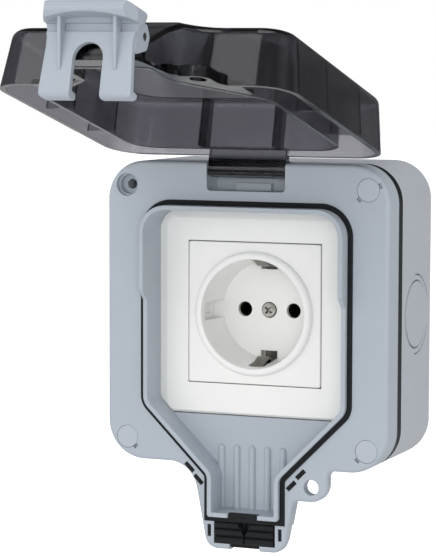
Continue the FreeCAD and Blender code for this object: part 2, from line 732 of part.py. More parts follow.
def make_front_cover():
    plate_level = face_level - size("cover_plate")
    neck = tapered_slab(neck_outline, skirt_level, face_level, size("neck_draft"), 0)
    neck = neck.cut(block(-box_half, box_half, -2 * neck_end, -rim_bottom - size("neck_step_drop"),
                          skirt_level - past, face_level - size("neck_end_depth")))
    cover = slab(body_outline, skirt_level, face_level).fuse(neck)
    cover = cover.fuse(slab(cover_outline, face_level - size("face_tab"), face_level)).removeSplitter()
    cover = fillet_at_level(cover, face_level, size("cover_edge_round"))

    # hollow behind the plate, with the screw posts, the chamber walls and the hinge pocket put back
    cover = cover.cut(slab(body_outline, skirt_level - past, plate_level, size("cover_wall")))
    inside = slab(body_outline, skirt_level, plate_level + size("cover_plate") / 2, size("cover_wall") / 3)
    for x, z in screw_points:
        boss = post(x, z, skirt_level, plate_level + size("cover_plate") / 2, size("screw_boss_radius"))
        cover = cover.fuse(boss.common(inside))
    walls = slab(rim_outline, skirt_level, face_level + size("rim_high_height"))
    cover = cover.fuse(walls.cut(rim_step_cutter()))
    pocket_wall = size("hinge_pocket_wall")
    pocket_bottom = size("hinge_pocket_bottom")
    pocket_floor = face_level - size("hinge_pocket_depth")
    housing = block(-hinge_pocket_half - pocket_wall, hinge_pocket_half + pocket_wall,
                    pocket_bottom - pocket_wall, box_top - past, skirt_level, face_level - past)
    cover = cover.fuse(housing)

    # socket opening and plug chamber
    rim_wall = size("rim_wall")
    floor_top = -size("chamber_floor_top")
    gap = size("chamber_gap")
    room_half = size("frame_half") + gap
    opening = slab(rim_outline, chamber_level, face_level + size("rim_high_height") + past, rim_wall)
    lower = slab(rim_outline, skirt_level - past, chamber_level + past, rim_wall)
    cover = cover.cut(opening)
    cover = cover.cut(between_heights(lower, floor_top, 2 * box_top))
    cover = cover.cut(block(-room_half, room_half, floor_top, size("frame_top") + gap, skirt_level - past,
                            frame_border_level))
    for rib in chamber_ribs():
        cover = cover.fuse(rib)

    # groove of the rim gasket, slots for its anchors, and the way out for the cable
    groove_floor = face_level - size("rim_gasket_groove")
    groove = gasket_block(groove_floor, face_level + past)
    cover = cover.cut(groove.cut(slab(rim_outline, groove_floor - past, face_level + 2 * past)))
    for cutter in slot_cutters(face_level - size("anchor_depth"), face_level + past):
        cover = cover.cut(cutter)
    cover = cover.cut(block(-gland_half, gland_half, gland_bottom, gasket_bottom, gland_low_level, face_level + past))
    cover = cover.cut(block(-notch_half, notch_half, -2 * neck_end, gland_bottom + past / 2,
                            face_level - size("cable_notch_depth"), face_level + past))
    cover = cover.cut(block(-notch_half, notch_half, -rim_bottom, rim_wall - rim_bottom, face_level - past,
                            face_level + size("rim_high_height")))

    # hinge pocket with its stop lug
    pocket = block(-hinge_pocket_half, hinge_pocket_half, pocket_bottom, box_top + past, pocket_floor,
                   face_level + past)
    corners = [edge for edge in pocket.Edges if runs_in_depth(edge) and
               abs(edge.Vertexes[0].Point.z - pocket_bottom) < 0.01]
    cover = cover.cut(pocket.makeFillet(1.5, corners))
    lug_half, lug_reach, lug_height = 0.46 * hinge_pocket_half, 2.6, 2.5
    cover = cover.fuse(block(-lug_half, lug_half, pocket_bottom - 0.5, pocket_bottom + lug_reach,
                             pocket_floor - 0.5, pocket_floor + lug_height))
    pin_half = size("hinge_pin_length") / 2
    cover = cover.cut(cross_rod(-pin_half, pin_half, hinge_level, hinge_z, size("hinge_pin_radius")))

    # screw bores with their steps, and the padlock hole
    for x, z in screw_points:
        cover = cover.cut(post(x, z, face_level - size("screw_step_depth"), face_level + past,
                               size("screw_bore_radius")))
        cover = cover.cut(post(x, z, face_level - size("screw_bore_depth"), face_level + past,
                               size("screw_step_radius")))
        cover = cover.cut(post(x, z, skirt_level - past, face_level,
                               size("screw_shank_radius") + size("running_clearance")))
    for x, z, angle in ((screw_place, screw_place, 20), (screw_place, screw_place, 225),
                        (-screw_place, -screw_place, 315), (screw_place, -screw_place, 225)):
        cover = cover.cut(pry_notch(x, z, angle))
    cover = cover.cut(post(*padlock_hole, face_level - 2 * size("face_tab"), face_level + past,
                           size("padlock_hole_radius")))
    return add_shape("front_cover", only_solid(cover))


# Rubber pieces on the cover
def make_rim_gasket():
    """Ring in the groove round the rim, with a lip that lies in the cable way through the rim."""
    low = face_level - size("rim_gasket_groove")
    high = face_level + size("rim_gasket_proud")
    gasket = gasket_block(low, high)
    gasket = fillet_at_level(gasket, high, 0.45)
    gasket = gasket.cut(slab(rim_outline, low - past, high + past))
    lip_high = high + 0.5
    lip = block(-notch_half, notch_half, -rim_bottom, size("rim_wall") - rim_bottom, face_level - past, lip_high)
    hollow_radius, hollow_depth = 1.4 * notch_half, 0.8
    hollow = Part.makeCylinder(hollow_radius, 2 * size("rim_wall"),
                               Vector(0, hollow_depth - lip_high - hollow_radius, -rim_bottom), Vector(0, 0, 1))
    return add_shape("rim_gasket", only_solid(gasket.fuse(lip.cut(hollow))))


def make_gasket_anchors():
    anchors = slot_cutters(face_level - size("anchor_depth"), face_level - 0.5, 0.02)
    return add_shape("gasket_anchors", Part.makeCompound(anchors))


def make_cable_gland():
    """Ridged rubber block with a slit and a V valley for the cable, and a tongue towards the neck's end."""
    top = face_level - 0.6
    ridge_radius = size("gland_ridge_radius")
    gland = block(-gland_half, gland_half, gland_bottom, gasket_bottom, gland_low_level, top)
    pitch = (gasket_bottom - gland_bottom) / 3
    for i in range(3):
        z = gland_bottom + pitch * (i + 0.5)
        gland = gland.fuse(cross_rod(0.6 - gland_half, gland_half - 0.6, top - 0.2, z, ridge_radius))
    valley_half = 0.24 * gland_half
    valley = [(0, gland_bottom + pitch * 0.93, 0.3), (valley_half * 1.08, gasket_bottom + 0.5, 0.3),
              (-valley_half * 1.08, gasket_bottom + 0.5, 0.3)]
    gland = gland.cut(tapered_slab(valley, top - size("gland_valley_depth"), top + ridge_radius, 0.8, 0))
    gland = gland.cut(block(-0.25, 0.25, gland_bottom - past, gasket_bottom + past, top - 3.4,
                            top + 2 * ridge_radius))
    tongue_half = notch_half - 0.05
    tongue = block(-tongue_half, tongue_half, 0.8 - neck_end, gland_bottom + 0.1,
                   face_level - size("cable_notch_depth"), face_level - 1.4)
    return add_shape("cable_gland", only_solid(gland.fuse(tongue)))


# Lid, drawn closed and then swung open about the hinge
def swing_open():
    centre = Vector(0, -hinge_level, hinge_z)
    turn = FreeCAD.Rotation(Vector(1, 0, 0), -size("lid_open_angle"))
    return FreeCAD.Placement(Vector(0, 0, 0), turn, centre)


def beyond_slope(drop):
    """Space past the sloping top of the lid's neck, or below it by a drop."""
    shares = [(-0.2, 1.14), (0.0, 1.0), (0.19, 0.86), (0.58, 0.525), (0.84, 0.285), (0.985, 0.076), (1.1, -0.07)]
    points = [(-box_bottom - along * size("neck_length"), face_level + share * size("lid_height") - drop)
              for along, share in shares]
    return side_profile(points + [(points[-1][0], 2 * lid_top_level), (points[0][0], 2 * lid_top_level)],
                        -2 * box_half, 2 * box_half)


def lid_shell():
    inset = size("lid_inset")
    draft = size("lid_draft")
    wall = size("lid_wall")
    outer = tapered_slab(lid_outline, lid_rim_level, lid_top_level, inset, inset + draft)
    outer = fillet_at_level(outer, lid_top_level, size("lid_top_round")).cut(beyond_slope(0))
    inner = tapered_slab(lid_outline, lid_rim_level - 0.01, lid_top_level - wall, inset + wall,
                         inset + draft + wall * 0.9)
    return outer, inner.cut(beyond_slope(wall * 1.2))


def make_lid():
    outer, inner = lid_shell()
    lid = outer.cut(inner)
    rib_in = -size("lid_rib_clear")
    rib_out = rib_in - size("lid_rib_wall")
    rib_low = face_level + size("rim_gasket_proud") + size("lid_rib_gap")
    inside_rib = slab(rim_outline, lid_rim_level - past, lid_top_level + past, rib_in)
    rib = ring_between(rim_outline, lid_rim_level, lid_top_level + past, rib_out, rib_in).common(outer)
    rib = rib.fuse(ring_between(rim_outline, rib_low, lid_rim_level + 0.3, rib_out, rib_in))

    # cross walls between the rib and the outer wall
    rib_top = size("rim_top") - rib_out
    webs = []
    for side in (-1, 1):
        ends = sorted((side * (rim_half + 0.2), side * (box_half - 2.8)))
        for z in (-0.22 * box_bottom, 0.4 * box_top):
            webs.append(block(ends[0], ends[1], z - 0.6, z + 0.6, face_level + 2.5, lid_top_level + past))
        x = side * (hinge_pocket_half - 1)
        webs.append(block(x - 1.5, x + 1.5, rib_top - 0.3, rib_top + 4, lid_rim_level + past, lid_top_level + past))
    outside_rib = outer.cut(inside_rib)
    webs = [web.common(outside_rib) for web in webs]
    web_plate = slab(lid_outline, lid_rim_level, lid_rim_level + 1.8, size("lid_inset") + 0.5)
    web_plate = between_heights(web_plate, -2 * neck_end, -0.75 * box_bottom, 0.68 * box_half)
    lid = lid.fuse([rib, web_plate.common(outside_rib)] + webs)

    # flange along the neck, and the ear for the padlock
    flange = slab(cover_outline, lid_rim_level, lid_rim_level + size("lid_flange"))
    flange = between_heights(flange, size("lid_inset") - neck_end, -box_bottom - size("ear_drop") / 2, neck_root)
    ear = slab(cover_outline, lid_rim_level, lid_rim_level + size("lid_ear_thickness"), size("lid_inset"))
    ear = ear.common(block(rim_neck, ear_right, -ear_bottom, -0.89 * box_bottom, face_level, lid_top_level))
    lid = lid.fuse([flange.cut(inside_rib), ear.cut(inside_rib)])
    lid = lid.cut(post(*padlock_hole, lid_rim_level - past, lid_rim_level + size("lid_ear_thickness") + past,
                       size("padlock_hole_radius")))

    # room for the rim of the cover where the neck is narrow
    lid = lid.cut(slab(rim_outline, rib_low - past, face_level + size("rim_low_height") + 0.5, rib_in))

    # hinge block: a square knuckle on an arm that runs up into the dome wall
    knuckle_half_width = hinge_pocket_half - size("knuckle_side_gap")
    half = size("knuckle_half")
    knuckle = block(-knuckle_half_width, knuckle_half_width, hinge_z - half, hinge_z + half,
                    hinge_level - half, hinge_level + half)
    along = [edge for edge in knuckle.Edges if edge.BoundBox.XLength > knuckle_half_width]
    knuckle = knuckle.makeFillet(half / 3, along)
    arm = block(-knuckle_half_width, knuckle_half_width, hinge_z - half, box_top - size("lid_inset"),
                hinge_level, lid_rim_level + 2.4)
    lid = lid.fuse([knuckle, arm])
    lid = lid.cut(cross_rod(-box_half, box_half, hinge_level, hinge_z,
                            size("hinge_pin_radius") + size("running_clearance")))

    # pivot of the latch clip, on a web that stands on the slope
    pivot_half = size("clip_inner_half") - size("clip_side_gap")
    pivot_radius = size("latch_pivot_radius")
    latch_z = size("latch_pivot_z")
    pivot = cross_rod(-pivot_half, pivot_half, latch_level, latch_z, pivot_radius)
    web = [(-2.8, 0.8), (-4.5, -2.0), (2.8, -7.2), (2.8, -1.0)]
    points = [(latch_z - reach, latch_level + rise) for reach, rise in web]
    lid = lid.fuse([pivot, side_profile(points, 1.6 - pivot_half, pivot_half - 1.6)])
    lid = lid.cut(cross_rod(-box_half, box_half, latch_level, latch_z,
                            size("latch_pin_radius") + size("running_clearance")))
    return add_shape("lid", only_solid(lid), swing_open())


# Latch clip, drawn closed in the same way; reach is how far below the origin, rise is above the face
clip_near = neck_end + size("clip_neck_gap")


def clip_side(corners, x_low, x_high):
    """Solid across X from (reach past the clip's inner face, rise, radius) corners."""
    solid = slab([(clip_near + reach, rise, radius) for reach, rise, radius in corners], -x_high, -x_low)
    solid.Placement = FreeCAD.Placement(FreeCAD.Matrix(0, 1, 0, 0, 0, 0, -1, -face_level, -1, 0, 0, 0, 0, 0, 0, 1))
    return solid


def clip_front(corners, near, far):
    """Solid along Z from (x, rise, radius) corners, between two reaches."""
    solid = slab(corners, near, far)
    solid.Placement = FreeCAD.Placement(FreeCAD.Matrix(1, 0, 0, 0, 0, 0, -1, -face_level, 0, 1, 0, 0, 0, 0, 0, 1))
    return solid


def mirrored(right_side):
    """Corners of an outline that is alike on both sides, from those of its right side, bottom first."""
    return right_side + [(-x, height, radius) for x, height, radius in right_side[::-1]]


def make_latch_clip():
    half = size("clip_half_width")
    inner_half = size("clip_inner_half")
    plate = size("clip_plate")
    pivot_rise = size("latch_pivot_height")
    hook_top = size("neck_end_depth") + size("clip_hook_gap")
    hook_low = hook_top + size("clip_hook_height")
    hook_reach = size("clip_hook_reach")
    slot = size("clip_slot_width") / 2
    near, far = clip_near - 2 * hook_reach, clip_near + plate
    end = clip_near + 4 * hook_reach

    front = mirrored([(half + 0.4, -hook_low, 1.5), (half + 0.3, -8, 8), (half - 0.4, pivot_rise - 7.7, 20),
                      (half - 0.8, pivot_rise - 2.7, 12), (half + 0.7, pivot_rise + 3.3, 6),
                      (half + 0.4, pivot_rise + 7.4, 2), (0.6 * half, pivot_rise + 9.5, 10)])
    front = clip_front(front, near, end)
    leg = clip_side([(0, pivot_rise, 0.3), (0, -hook_top, 0.4), (-hook_reach, -hook_top - 0.5, 0.5),
                     (-hook_reach, -hook_low, 0.8), (plate, -hook_low, 1.6), (plate, pivot_rise, 0.3)],
                    -2 * half, 2 * half)
    wall = clip_side([(-0.6, pivot_rise - 1.2, 0.3), (1.0, pivot_rise - 1.2, 0.3), (1.0, pivot_rise + 4, 0.3),
                      (-0.6, pivot_rise + 4, 0.3)], -2 * half, 2 * half)
    leg = leg.fuse(wall).common(front)

    # head with an arched underside, narrower towards its front
    head = clip_side([(-1.55, pivot_rise + 2.4, 0.6), (7.25, pivot_rise + 3.0, 0.7), (8.95, pivot_rise + 5.1, 1.2),
                      (7.85, pivot_rise + 8.2, 2.5), (2.65, pivot_rise + 9.4, 6), (-3.15, pivot_rise + 9.4, 2.5),
                      (-4.75, pivot_rise + 6.3, 2)], -2 * half, 2 * half)
    plan = [(half + 1.3, 7.35 - clip_near, 1), (-half - 1.3, 7.35 - clip_near, 1),
            (-half - 1.3, -clip_near - 1.15, 3), (2.4 - half, -clip_near - 10.15, 2.5),
            (half - 2.4, -clip_near - 10.15, 2.5), (half + 1.3, -clip_near - 1.15, 3)]
    head = head.common(slab(plan, 0, 2 * face_level)).common(front)
    arch_radius = 4 * half
    arch_centre = Vector(0, arch_radius - face_level - pivot_rise - 4.5, -end)
    head = head.cut(Part.makeCylinder(arch_radius, end - far, arch_centre, Vector(0, 0, 1)))

    clip = leg.fuse(head)
    for side in (-1, 1):
        x_low, x_high = sorted((side * inner_half, side * half))
        cheek = clip_side([(-8.75, pivot_rise + 0.6, 2), (-7.35, pivot_rise - 3.8, 2), (-0.75, pivot_rise - 6.5, 0.8),
                           (0.8, pivot_rise - 6.5, 0.3), (0.8, pivot_rise + 4.0, 0.3),
                           (-5.85, pivot_rise + 4.0, 1.5)], x_low, x_high)
        x = side * (half + slot - 1.5) / 2
        gusset = clip_side([(plate - 0.3, -5.2, 0.3), (plate + 4.0, pivot_rise + 4.3, 0.3),
                            (plate - 0.3, pivot_rise + 4.3, 0.3)], x - 0.6, x + 0.6)
        clip = clip.fuse([cheek, gusset])
    arch = size("clip_slot_top") - slot
    opening = block(-slot, slot, -end, -near, face_level - 2 * hook_low, face_level + arch)
    opening = opening.fuse(Part.makeCylinder(slot, end - near, Vector(0, -face_level - arch, -end), Vector(0, 0, 1)))
    clip = clip.cut(opening)
    clip = clip.cut(cross_rod(-box_half, box_half, latch_level, size("latch_pivot_z"),
                              size("latch_pin_radius") + size("running_clearance")))
    return add_shape("latch_clip", only_solid(clip), swing_open())


# Pins
def make_pin(label, radius, length, level, z, placement=None):
    """Pin along X from a Part cylinder; its middle is at x = 0."""
    pin = doc.addObject("Part::Cylinder", label)
    pin.Label = label
    pin.setExpression("Radius", radius)
    pin.setExpression("Height", length)
    pin.Placement = FreeCAD.Placement(Vector(0, 0, 0), FreeCAD.Rotation(Vector(0, 1, 0), 90))
    pin.setExpression(".Placement.Base.x", "-(%s) / 2" % length)
    pin.setExpression(".Placement.Base.y", "-(%s)" % level)
    pin.setExpression(".Placement.Base.z", z)
    return pin


def make_pins():
    hinge = make_pin("lid_hinge_pin", "sizes.hinge_pin_radius", "sizes.hinge_pin_length - 0.2",
                     bound("hinge_level"), bound("hinge_z"))
    latch = make_pin("latch_pin_closed", "sizes.latch_pin_radius", "2 * sizes.clip_half_width",
                     bound("latch_level"), bound("latch_pivot_z"))
    doc.recompute()
    opened = latch.Shape.copy()
    opened.Placement = swing_open().multiply(latch.Placement)
    return hinge, add_shape("latch_pin", opened)


# Socket frame and faceplate
def make_socket_frame():
    half = size("frame_half")
    corner = size("frame_corner")
    bevel = size("bevel_half")
    slope = size("frame_bevel")
    low = size("strap_top_level")
    plateau_level = size("plateau_level")
    border = box_corners(half, size("frame_top"), size("frame_bottom"), corner)
    frame = slab(border, low, frame_border_level)
    plateau = box_corners(bevel - slope, bevel - slope, bevel - size("frame_foot_roll"), corner)
    raised = loft_between(box_corners(bevel, bevel, bevel, corner + slope), plateau, frame_border_level,
                          plateau_level)
    inside_rim = slab(rim_outline, frame_border_level - past, plateau_level + past,
                      size("rim_wall") + size("frame_side_gap"))
    frame = frame.fuse(raised.common(inside_rim))
    frame = frame.cut(slab(border, low - past, frame_border_level - size("frame_plate"), size("frame_wall")))
    window_x = size("insert_width") / 2 + size("insert_gap")
    window_z = size("insert_height") / 2 + size("insert_gap")
    frame = frame.cut(block(-window_x, window_x, -window_z, window_z, low - past, insert_level + past))
    return add_shape("socket_frame", only_solid(frame.removeSplitter()))


def make_faceplate():
    body = new_body("socket_faceplate")
    insert, ring_top, floor = bound("insert_level"), bound("ring_level"), bound("recess_level")
    back = bound("recess_back_level")
    plate = level_sketch(body, "plate_outline", insert + " - sizes.insert_plate")
    add_rectangle(plate, bound("insert_width"), bound("insert_height"))
    pad = extrude_sketch(body, "Pad", "plate", plate, "sizes.insert_plate")
    pad = round_edges(body, "plate_corners", pad, runs_in_depth, "sizes.insert_corner")
    round_edges(body, "plate_edge", pad, lambda edge: lies_at_level(edge, insert_level), "0.5")
    cup = level_sketch(body, "cup_outline", back)
    add_circle(cup, bound("cup_radius"))
    extrude_sketch(body, "Pad", "cup", cup, "%s - %s" % (insert, back))
    sides = level_sketch(body, "keyway_block_outline", back)
    add_rectangle(sides, "2 * " + bound("keyway_block_half"), "sizes.keyway_block_height")
    extrude_sketch(body, "Pad", "keyway_blocks", sides, "%s - %s" % (insert, back))
    ring = level_sketch(body, "ring_outline", insert + " - 0.5")
    add_circle(ring, bound("ring_radius"))
    pad = extrude_sketch(body, "Pad", "ring", ring, "sizes.ring_height + 0.5")
    round_edges(body, "ring_edge", pad, lambda edge: lies_at_level(edge, size("ring_level")),
                "sizes.ring_outer_round")
    recess = level_sketch(body, "recess_outline", ring_top)
    add_circle(recess, "sizes.recess_radius")
    pocket = extrude_sketch(body, "Pocket", "recess", recess, "sizes.recess_depth")
    pocket.setExpression("TaperAngle", "-sizes.recess_taper")
    doc.recompute()
    round_edges(body, "recess_edge", pocket,
                lambda edge: lies_at_level(edge, size("ring_level")) and
                abs(edge.BoundBox.XLength - 2 * size("recess_radius")) < 0.01, "sizes.ring_inner_round")
    keyways = level_sketch(body, "keyway_outline", ring_top + " - sizes.keyway_drop")
    add_rectangle(keyways, "2 * " + bound("keyway_reach"), "sizes.keyway_width")
    extrude_sketch(body, "Pocket", "keyways", keyways, "sizes.recess_depth - sizes.keyway_drop")
    windows = level_sketch(body, "side_window_outline", ring_top + " - 2 * sizes.keyway_drop")
    add_rectangle(windows, "2 * (%s + sizes.side_window_depth)" % bound("keyway_reach"), "sizes.side_window_height")
    extrude_sketch(body, "Pocket", "side_windows", windows, "sizes.recess_depth - 3 * sizes.keyway_drop")
    holes = level_sketch(body, "pin_hole_outline", floor)
    for side in ("-", ""):
        add_circle(holes, "sizes.pin_hole_radius", side + "sizes.pin_spacing / 2")
    add_circle(holes, "sizes.centre_screw_radius + sizes.centre_screw_gap")
    extrude_sketch(body, "Pocket", "pin_holes", holes, "sizes.recess_floor + 1")
    windows = level_sketch(body, "earth_window_outline", ring_top + " - sizes.earth_window_drop")
    length = "(sizes.cup_wall + sizes.earth_window_inset + 0.2)"
    for side in ("-", ""):
        add_rectangle(windows, "sizes.earth_window_width", length, "0",
                      "%s(sizes.recess_radius - sizes.earth_window_inset + %s / 2)" % (side, length))
    extrude_sketch(body, "Pocket", "earth_windows", windows,
                   "%s - sizes.earth_window_drop - %s + 1" % (ring_top, back))
    return body


# Mechanism behind the faceplate
def make_mounting_strap():
    body = new_body("mounting_strap")
    low, top = bound("strap_level"), bound("strap_top_level")
    outline = level_sketch(body, "strap_outline", low)
    add_rectangle(outline, bound("strap_width"), bound("strap_width"))
    pad = extrude_sketch(body, "Pad", "strap_plate", outline, "sizes.strap_thickness")
    round_edges(body, "strap_corners", pad, runs_in_depth, "4")
    tabs = level_sketch(body, "tab_outline", low + " + 0.2")
    offset = "(%s + sizes.strap_thickness) / 2" % bound("base_height")
    for x in ("-", ""):
        for z in ("-", ""):
            add_rectangle(tabs, "8", "sizes.strap_thickness", x + bound("base_width") + " * 0.28", z + offset)
    extrude_sketch(body, "Pad", "strap_tabs", tabs, "%s + 0.2 - %s + 8.5" % (low, bound("base_top_level")), True)
    hole = level_sketch(body, "cup_hole_outline", top)
    add_circle(hole, bound("cup_radius") + " + sizes.insert_gap")
    extrude_sketch(body, "Pocket", "cup_hole", hole, "sizes.strap_thickness + 0.1")
    notch = level_sketch(body, "keyway_notch_outline", top)
    add_rectangle(notch, "2 * (%s + sizes.insert_gap)" % bound("keyway_block_half"),
                  "sizes.keyway_block_height + 2 * sizes.insert_gap")
    extrude_sketch(body, "Pocket", "keyway_notch", notch, "sizes.strap_thickness + 0.1")
    slots = level_sketch(body, "strap_slot_outline", top)
    for side in ("-", ""):
        add_circle(slots, "sizes.strap_screw_radius + 0.2", side + bound("strap_screw_x"))
    extrude_sketch(body, "Pocket", "strap_slots", slots, "sizes.strap_thickness + 0.1")
    return body


def make_socket_base():
    body = new_body("socket_base")
    bottom, top = bound("base_bottom_level"), bound("base_top_level")
    outline = level_sketch(body, "base_outline", bottom)
    add_rectangle(outline, bound("base_width"), bound("base_height"))
    pad = extrude_sketch(body, "Pad", "base_block", outline, "%s - %s" % (top, bottom))
    pad = round_edges(body, "base_corners", pad, runs_in_depth, "3")
    round_edges(body, "base_back_edge", pad, lambda edge: lies_at_level(edge, size("base_bottom_level")), "1")
    bays = level_sketch(body, "contact_bay_outline", top)
    for side in ("-", ""):
        add_rectangle(bays, "sizes.contact_bay_length", "sizes.contact_bay_width",
                      side + "(sizes.pin_spacing / 2 + 3.9)")
    extrude_sketch(body, "Pocket", "contact_bays", bays, "%s - %s" % (top, bound("contact_low_level")))
    hole = level_sketch(body, "base_screw_outline", top)
    add_circle(hole, "sizes.terminal_hole_radius")
    for side in ("-", ""):
        add_circle(hole, "sizes.terminal_hole_radius", side + bound("terminal_x"))
    add_circle(hole, "sizes.terminal_hole_radius", "0", "-sizes.earth_terminal_z")
    extrude_sketch(body, "Pocket", "base_screw_holes", hole, "%s - %s - 1.5" % (top, bottom))
    return body


def make_contact(label, side):
    low = size("contact_low_level")
    inner = size("contact_inner_radius")
    outer = inner + size("contact_wall")
    hole = size("terminal_hole_radius")
    x = side * size("pin_spacing") / 2
    tube = post(x, 0, low, base_top_level - 0.1, outer)
    reach = sorted((x, x + side * 11.1))
    contact = tube.fuse(block(reach[0], reach[1], -2 * hole, 2 * hole, low, low + bar_height))
    contact = contact.cut(post(x, 0, low + bar_height, base_top_level + past, inner))
    contact = contact.cut(block(x - 0.4, x + 0.4, -2 * outer, 2 * outer, low + 4.5, base_top_level + past))
    contact = contact.cut(post(side * size("terminal_x"), 0, low - past, low + bar_height + past, hole))
    return add_shape(label, only_solid(contact.removeSplitter()))


def strip_path(points, thickness, x_half):
    """Bent strip of constant thickness across X, from (z, level) points along its middle."""
    sides = [[], []]
    count = len(points)
    for i in range(count):
        before = Vector(points[i][0], points[i][1], 0) - Vector(points[max(i - 1, 0)][0], points[max(i - 1, 0)][1], 0)
        after = Vector(points[min(i + 1, count - 1)][0], points[min(i + 1, count - 1)][1], 0)
        after = after - Vector(points[i][0], points[i][1], 0)
        if before.Length < 0.001:
            before = after
        if after.Length < 0.001:
            after = before
        before.normalize()
        after.normalize()
        normal = Vector(-(before.y + after.y), before.x + after.x, 0).normalize()
        stretch = thickness / 2 / max(0.3, normal.dot(Vector(-after.y, after.x, 0)))
        sides[0].append((points[i][0] + normal.x * stretch, points[i][1] + normal.y * stretch))
        sides[1].append((points[i][0] - normal.x * stretch, points[i][1] - normal.y * stretch))
    return side_profile(sides[0] + sides[1][::-1], -x_half, x_half)


def make_earth_contact():
    """Strip across the back of the recess, with an arm that bulges into each end of it."""
    thickness = size("earth_strip_thickness")
    radius = size("recess_radius")
    ring_top = size("ring_level")
    level = base_top_level + thickness / 2
    arm = [(radius - 0.65, level), (radius - 0.65, size("recess_level") + 0.5), (radius - 2.95, ring_top - 12.0),
           (radius - 2.55, ring_top - 10.8), (radius + 0.35, ring_top - 5.0)]
    path = [(-z, height) for z, height in arm[::-1]] + arm
    strip = strip_path(path, thickness, size("earth_strip_width") / 2)
    pad_half, terminal_z = size("earth_strip_width"), -size("earth_terminal_z")
    strip = strip.fuse(post(0, 0, base_top_level, base_top_level + thickness, pad_half))
    strip = strip.fuse(block(-pad_half, pad_half, terminal_z - 4.5, terminal_z + 4.5, base_top_level,
                             base_top_level + thickness))
    for z in (0, terminal_z):
        strip = strip.cut(post(0, z, base_top_level - past, base_top_level + thickness + past,
                               size("terminal_hole_radius") + 0.05))
    return add_shape("earth_contact", only_solid(strip.removeSplitter()))


# Screws
def cross_slot(x, z, top, arm, width, depth):
    cross = block(x - arm, x + arm, z - width / 2, z + width / 2, top - depth, top + 1)
    cross = cross.fuse(block(x - width / 2, x + width / 2, z - arm, z + arm, top - depth, top + 1))
    cross.rotate(Vector(x, 0, z), Vector(0, 1, 0), 40)
    return cross


def screw_shape(x, z, seat, head_radius, head_height, shank_radius, length):
    screw = post(x, z, seat, seat + head_height, head_radius)
    screw = fillet_at_level(screw, seat + head_height, min(head_height * 0.3, head_radius * 0.27))
    screw = screw.fuse(post(x, z, seat - length, seat + 0.1, shank_radius))
    return screw.cut(cross_slot(x, z, seat + head_height, head_radius * 0.62, head_radius * 0.3, head_height * 0.6))


def make_screws():
    cover_seat = face_level - size("screw_bore_depth")
    cover_screws = [screw_shape(x, z, cover_seat, size("screw_head_radius"), size("screw_head_height"),
                                size("screw_shank_radius"), size("screw_length")) for x, z in closed_screw_points]
    cap_low = face_level - size("screw_step_depth")
    caps = []
    for x, z in closed_screw_points:
        cap = post(x, z, cap_low, face_level, size("screw_bore_radius") - size("cap_clearance"))
        caps.append(fillet_at_level(cap, face_level, 0.25))
    strap_half = size("strap_screw_x")
    strap_screws = [screw_shape(x, 0, size("strap_top_level"), 1.75 * size("strap_screw_radius"), 1.8,
                                size("strap_screw_radius"), size("strap_screw_length"))
                    for x in (-strap_half, strap_half)]
    shank = size("terminal_hole_radius") - 0.05
    strip_top = base_top_level + size("earth_strip_thickness")
    recess_screw = screw_shape(0, 0, strip_top, size("centre_screw_radius"),
                               size("recess_level") + 0.9 - strip_top, shank,
                               strip_top - size("base_bottom_level") - 3.5)
    made = [
        add_shape("cover_screws", Part.makeCompound(cover_screws)),
        add_shape("screw_caps", Part.makeCompound(caps)),
        add_shape("strap_screws", Part.makeCompound(strap_screws)),
        add_shape("centre_screw", recess_screw),
    ]
    terminal_seat = size("contact_low_level") + bar_height
    terminal_place = size("terminal_x")
    for label, x in (("terminal_screw_left", -terminal_place), ("terminal_screw_right", terminal_place)):
        made.append(add_shape(label, screw_shape(x, 0, terminal_seat, 2.5, 1.6, shank, 4.8)))
    made.append(add_shape("earth_terminal_screw",
                          screw_shape(0, -size("earth_terminal_z"), strip_top, 2.2, 0.35, shank, 6)))
    return made


# Build every piece and write one file for each
pieces = [make_back_box(), make_box_gasket(), make_front_cover(), make_rim_gasket(), make_gasket_anchors(),
          make_cable_gland(), make_lid(), make_latch_clip()]
pieces += list(make_pins())
pieces += [make_socket_frame(), make_faceplate(), make_mounting_strap(), make_socket_base(),
           make_contact("contact_left", -1), make_contact("contact_right", 1), make_earth_contact()]
pieces += make_screws()
doc.recompute()

for item in doc.Objects:
    if "Invalid" in item.State or "Error" in item.State:
        raise ValueError("feature not computed: " + item.Label)
for piece in pieces:
    if piece.Shape.isNull() or not piece.Shape.isValid():
        raise ValueError("shape not valid: " + piece.Label)
os.makedirs("parts", exist_ok=True)
for piece in pieces:
    piece.Shape.exportStep("parts/" + piece.Label + ".step")
    box = piece.Shape.BoundBox
    print("%-22s solids %d volume %9.1f  x %6.1f %6.1f  y %6.1f %6.1f  z %6.1f %6.1f" % (
        piece.Label, len(piece.Shape.Solids), piece.Shape.Volume, box.XMin, box.XMax, box.YMin, box.YMax,
        box.ZMin, box.ZMax))
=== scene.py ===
import bpy
import math
from mathutils import Matrix, Vector

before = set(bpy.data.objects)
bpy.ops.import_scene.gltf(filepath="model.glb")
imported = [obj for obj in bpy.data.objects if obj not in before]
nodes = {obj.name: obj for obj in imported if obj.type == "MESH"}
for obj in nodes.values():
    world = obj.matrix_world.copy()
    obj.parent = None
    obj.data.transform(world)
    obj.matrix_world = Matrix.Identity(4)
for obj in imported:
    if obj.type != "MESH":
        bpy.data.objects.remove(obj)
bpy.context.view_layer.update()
print("frame loaded:", len(nodes), "nodes")

millimetre = 0.001


# Small helpers
def srgb(hexColour, alpha=1.0):
    # sRGB hex to the linear values that shader sockets take
    values = []
    for i in (1, 3, 5):
        part = int(hexColour[i:i + 2], 16) / 255
        values.append(part / 12.92 if part <= 0.04045 else ((part + 0.055) / 1.055) ** 2.4)
    return (*values, alpha)


